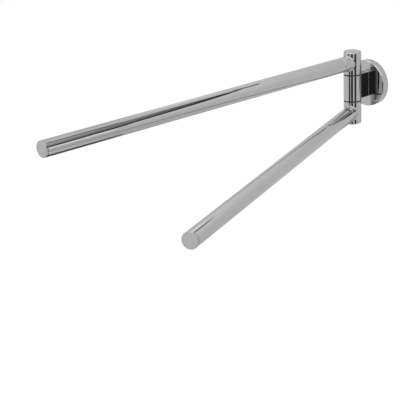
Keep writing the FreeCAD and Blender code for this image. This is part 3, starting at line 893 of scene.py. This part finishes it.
INNER_FITTINGS = (
    ("wall_plate", "zinc_plate"),
    ("rosette_screw", "screw_steel"),
    ("post_screw", "screw_steel"),
    ("hinge_pin", "pin_steel"),
    *((side + "_" + name, slot) for side in ("upper", "lower") for name, slot in (
        ("bush", "dark_acetal"),
        ("disc_spring", "spring_steel"),
        ("stud", "screw_steel"),
        ("tube_insert", "brass_insert"),
        ("cap_ring", "black_rubber"),
    )),
)


class TOWELBAR_OT_inner_fittings(bpy.types.Operator):
    """Give the inner fittings, which keep their own solids, their finishes"""

    bl_idname = "towelbar.inner_fittings"
    bl_label = "Inner fittings"

    def execute(self, context):
        for node, slot in INNER_FITTINGS:
            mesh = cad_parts[node].data
            mesh.materials.clear()
            mesh.materials.append(finish(slot))
        return {"FINISHED"}


# ---------------------------------------------------------------- studio


CAMERA_DISTANCE = 1.475189
CAMERA_AZIMUTH = math.radians(41.856)
CAMERA_RISE = math.radians(14.8492)
CAMERA_AIM_TURN = math.radians(6.7939)
CAMERA_AIM_DROP = math.radians(19.4238)
CAMERA_ROLL = math.radians(-2.4219)
SENSOR_WIDTH = 36.0
FLOOR_HALF_WIDTH = 8.0
FLOOR_GREY = 0.8
FLOOR_LIFT = 0.55
WHITE = (1, 1, 1, 1)
DARK = 0.03


def add_camera(lens):
    """The photograph's own viewpoint, placed round the middle of the column."""
    data = bpy.data.cameras.new("photo_camera")
    data.lens = lens
    data.sensor_width = SENSOR_WIDTH
    camera = bpy.data.objects.new("photo_camera", data)
    bpy.context.scene.collection.objects.link(camera)
    stand = Vector((0, -CAMERA_DISTANCE * math.cos(CAMERA_RISE),
                    CAMERA_DISTANCE * math.sin(CAMERA_RISE)))
    camera.matrix_world = (UPPER_PLACE @ Matrix.Rotation(CAMERA_AZIMUTH, 4, "Z")
                           @ Matrix.Translation(stand)
                           @ Matrix.Rotation(CAMERA_AIM_TURN, 4, "Z")
                           @ Matrix.Rotation(SQUARE - CAMERA_AIM_DROP, 4, "X")
                           @ Matrix.Rotation(CAMERA_ROLL, 4, "Z"))
    bpy.context.scene.camera = camera


def mixed(tree, choice, first, second):
    """Mix two shaders: the first where the choice is 0, the second where it is 1."""
    mix = add_node(tree, "MixShader")
    tree.links.new(choice, mix.inputs["Fac"])
    tree.links.new(first.outputs[0], mix.inputs[1])
    tree.links.new(second.outputs[0], mix.inputs[2])
    return mix


def add_world(backdrop, fill):
    """White to the camera, a soft grey sky to metal, and a plain fill to everything else."""
    world = bpy.data.worlds.new("studio_air")
    bpy.context.scene.world = world
    world.use_nodes = True
    tree, links = world.node_tree, world.node_tree.links
    tree.nodes.clear()
    path = add_node(tree, "LightPath")
    place = add_node(tree, "TexCoord")
    split = add_node(tree, "SeparateXYZ")
    links.new(place.outputs["Generated"], split.inputs["Vector"])
    sky = add_node(tree, "MapRange", {
        "From Min": 0.35, "From Max": 0.9, "To Min": backdrop, "To Max": 1.0})
    links.new(split.outputs["Z"], sky.inputs["Value"])
    metal_air = add_node(tree, "Background")
    links.new(sky.outputs["Result"], metal_air.inputs["Strength"])
    fill_air = add_node(tree, "Background", {"Color": WHITE, "Strength": fill})
    white = add_node(tree, "Background", {"Color": WHITE})
    glossy = add_node(tree, "Math", operation="MAXIMUM")
    links.new(path.outputs["Is Glossy Ray"], glossy.inputs[0])
    links.new(path.outputs["Is Transmission Ray"], glossy.inputs[1])
    unseen = mixed(tree, glossy.outputs["Value"], fill_air, metal_air)
    seen = mixed(tree, path.outputs["Is Camera Ray"], unseen, white)
    output = add_node(tree, "OutputWorld")
    links.new(seen.outputs["Shader"], output.inputs["Surface"])


def bare_material(name):
    """A material with an empty node tree and its output."""
    material = bpy.data.materials.new(name)
    material.use_nodes = True
    material.node_tree.nodes.clear()
    return material, material.node_tree, add_node(material.node_tree, "OutputMaterial")


def floor_material(backdrop):
    """Pale floor that keeps a shadow; metal sees it as bright as the air."""
    material, tree, output = bare_material("pale_floor")
    path = add_node(tree, "LightPath")
    matt = add_node(tree, "BsdfDiffuse", {"Color": (FLOOR_GREY, FLOOR_GREY, FLOOR_GREY, 1)})
    lift = add_node(tree, "Emission", {"Strength": FLOOR_LIFT})
    pale = add_node(tree, "AddShader")
    tree.links.new(matt.outputs["BSDF"], pale.inputs[0])
    tree.links.new(lift.outputs["Emission"], pale.inputs[1])
    seen = mixed(tree, path.outputs["Is Camera Ray"], matt, pale)
    glow = add_node(tree, "Emission", {"Strength": backdrop})
    mirrored = mixed(tree, path.outputs["Is Glossy Ray"], seen, glow)
    tree.links.new(mirrored.outputs["Shader"], output.inputs["Surface"])
    return material


def add_floor(depth, backdrop):
    """A wide level floor under the object."""
    bm = bmesh.new()
    bmesh.ops.create_grid(bm, x_segments=1, y_segments=1, size=FLOOR_HALF_WIDTH,
                          matrix=Matrix.Translation((0, 0, -depth)))
    floor = to_object("studio_floor", bm)
    floor.data.materials.append(floor_material(backdrop))


def glow_material(name, levels):
    """Even light, or light that changes from one (height, strength) to another."""
    (low_z, low_strength), (high_z, high_strength) = levels
    material, tree, output = bare_material(name)
    place = add_node(tree, "TexCoord")
    split = add_node(tree, "SeparateXYZ")
    tree.links.new(place.outputs["Object"], split.inputs["Vector"])
    level = add_node(tree, "MapRange", {
        "From Min": low_z, "From Max": high_z, "To Min": low_strength, "To Max": high_strength})
    tree.links.new(split.outputs["Z"], level.inputs["Value"])
    glow = add_node(tree, "Emission")
    tree.links.new(level.outputs["Result"], glow.inputs["Strength"])
    tree.links.new(glow.outputs["Emission"], output.inputs["Surface"])
    return material


def even(strength):
    """Levels of a card that is equally bright all over."""
    return (0, strength), (1, strength)


def add_card(name, bm, levels):
    """A card that only reflections see."""
    card = to_object(name, bm)
    card.data.materials.append(glow_material(name, levels))
    card.visible_camera = False
    card.visible_diffuse = False
    card.visible_shadow = False
    card.visible_transmission = False
    card.visible_volume_scatter = False


def flat_card(name, middle, half, turn, levels):
    """A flat card from its middle and its half sizes, turned from level."""
    bm = bmesh.new()
    place = Matrix.Translation(middle) @ Matrix.Diagonal((*half, 1)) @ turn
    bmesh.ops.create_grid(bm, x_segments=1, y_segments=1, size=1, matrix=place)
    add_card(name, bm, levels)


def wall_card(name, sides, heights, y, levels):
    """An upright card parallel to the wall, from side to side and from height to height."""
    flat_card(name, (sum(sides) / 2, y, sum(heights) / 2),
              ((sides[1] - sides[0]) / 2, 1, (heights[1] - heights[0]) / 2), TO_FRONT, levels)


def floor_card(name, sides, depths, z, levels):
    """A level card under the object, from side to side and from depth to depth."""
    flat_card(name, (sum(sides) / 2, sum(depths) / 2, z),
              ((sides[1] - sides[0]) / 2, (depths[1] - depths[0]) / 2, 1), Matrix(), levels)


def round_card(name, azimuths, heights, distance, levels):
    """An upright card bent round the column; azimuths run from -Y towards +X, in degrees."""
    bm = bmesh.new()
    bmesh.ops.create_grid(bm, x_segments=12, y_segments=1, size=0.5)
    for vert in bm.verts:
        turn = math.radians(azimuths[0] + (azimuths[1] - azimuths[0]) * (vert.co.x + 0.5))
        z = heights[0] + (heights[1] - heights[0]) * (vert.co.y + 0.5)
        vert.co = on_column(distance, turn, z) + Vector((0, COLUMN_Y, 0))
    add_card(name, bm, levels)


def add_cards():
    """The cards behind, under and round the object that make the chrome's bands."""
    wall_card("light_wall", (-0.42, 0.72), (-0.035, 0.255), 0.004, ((0.03, 0.66), (0.22, 0.81)))
    wall_card("low_wall", (-0.25, 0.72), (-0.46, -0.035), 0.004, ((-0.35, 0.58), (0.0, 0.68)))
    wall_card("rosette_shade", (-0.05, 0.01), (-0.07, -0.03), 0.003, even(0.35))
    wall_card("bright_strip", (0.5, 0.72), (0.06, 0.255), 0.003, ((0.0, 0.9), (0.1, 1.05)))
    wall_card("dark_gap", (0.03, 1.3), (0.24, 0.80), 0.03, ((0.30, DARK), (0.62, 0.48)))
    wall_card("dark_ledge", (0.42, 0.76), (0.218, 0.258), 0.002, even(0.05))
    wall_card("dark_tip", (-0.01, 0.045), (0.226, 0.275), 0.003, even(0.06))
    wall_card("dark_edge", (0.03, 0.18), (0.54, 0.80), 0.029, even(0.18))
    floor_card("dark_ground", (-0.8, 0.1), (-0.35, 0.36), -0.6, even(0.11))
    floor_card("grey_ground", (-0.8, 0.1), (0.361, 0.8), -0.6, even(0.45))
    round_card("left_gap", (-6.0, 13.0), (-0.9, -0.078), 0.5, even(DARK))
    round_card("middle_gap", (26.0, 50.0), (-0.9, 0.03), 1.1, even(DARK))
    round_card("right_gap", (68.0, 93.0), (-0.9, 0.03), 0.9, even(DARK))
    round_card("front_gap", (-14.0, 3.0), (0.08, 0.30), 1.0, even(0.06))
    round_card("front_softbox", (-65.0, 55.0), (0.62, 2.2), 1.3, even(1.55))
    round_card("side_softbox", (60.0, 95.0), (0.30, 0.8), 1.1, even(1.5))
    round_card("back_softbox", (-146.0, -128.0), (0.8, 1.2), 1.2, even(1.1))


def add_lamp(name, place, aim, size, power):
    """A large soft lamp that metal doesn't see."""
    data = bpy.data.lights.new(name, "AREA")
    data.shape = "SQUARE"
    data.size = size
    data.energy = power
    lamp = bpy.data.objects.new(name, data)
    bpy.context.scene.collection.objects.link(lamp)
    lamp.location = place
    lamp.rotation_euler = (Vector(aim) - Vector(place)).to_track_quat("-Z", "Y").to_euler()
    lamp.visible_glossy = False


class TOWELBAR_OT_studio(bpy.types.Operator):
    """Set up the floor, the light, the cards that the chrome mirrors and the camera"""

    bl_idname = "towelbar.studio"
    bl_label = "Studio"

    def execute(self, context):
        studio = context.scene.towel_bar_studio
        context.scene.view_settings.view_transform = "Standard"
        add_world(studio.backdrop, studio.fill)
        add_floor(studio.floor_depth, studio.backdrop)
        add_cards()
        add_lamp("soft_key", place=(-0.9, -1.4, 1.5), aim=(0, -0.2, 0), size=1.2, power=32)
        add_camera(studio.lens)
        return {"FINISHED"}


# ---------------------------------------------------------------- panel and registration


PIECE_OPERATORS = (
    TOWELBAR_OT_rosette,
    TOWELBAR_OT_post_bar,
    TOWELBAR_OT_barrel,
    TOWELBAR_OT_seam_washers,
    TOWELBAR_OT_hubs,
    TOWELBAR_OT_tubes,
    TOWELBAR_OT_end_caps,
    TOWELBAR_OT_grub_screws,
    TOWELBAR_OT_inner_fittings,
    TOWELBAR_OT_studio,
)


class TOWELBAR_PT_panel(bpy.types.Panel):
    """Lists the sizes, finishes and pieces of the towel bar"""

    bl_label = "Towel Bar"
    bl_idname = "TOWELBAR_PT_panel"
    bl_space_type = "VIEW_3D"
    bl_region_type = "UI"
    bl_category = "Towel Bar"

    def draw(self, context):
        for group in (context.scene.towel_bar_sizes, context.scene.towel_bar_finishes,
                      context.scene.towel_bar_studio):
            box = self.layout.box()
            for name in group.__annotations__:
                box.prop(group, name)
        for operator in PIECE_OPERATORS:
            self.layout.operator(operator.bl_idname)


CLASSES = (TowelBarSizes, TowelBarFinishes, TowelBarStudio, *PIECE_OPERATORS, TOWELBAR_PT_panel)


def register():
    """Register the classes and the three groups of settings."""
    for item in CLASSES:
        bpy.utils.register_class(item)
    bpy.types.Scene.towel_bar_sizes = PointerProperty(type=TowelBarSizes)
    bpy.types.Scene.towel_bar_finishes = PointerProperty(type=TowelBarFinishes)
    bpy.types.Scene.towel_bar_studio = PointerProperty(type=TowelBarStudio)


def unregister():
    """Take everything that register added away again."""
    del bpy.types.Scene.towel_bar_studio
    del bpy.types.Scene.towel_bar_finishes
    del bpy.types.Scene.towel_bar_sizes
    for item in reversed(CLASSES):
        bpy.utils.unregister_class(item)


def main():
    """Build every piece and the studio."""
    register()
    for operator in PIECE_OPERATORS:
        group, name = operator.bl_idname.split(".")
        getattr(getattr(bpy.ops, group), name)()


if __name__ == "__main__":
    main()
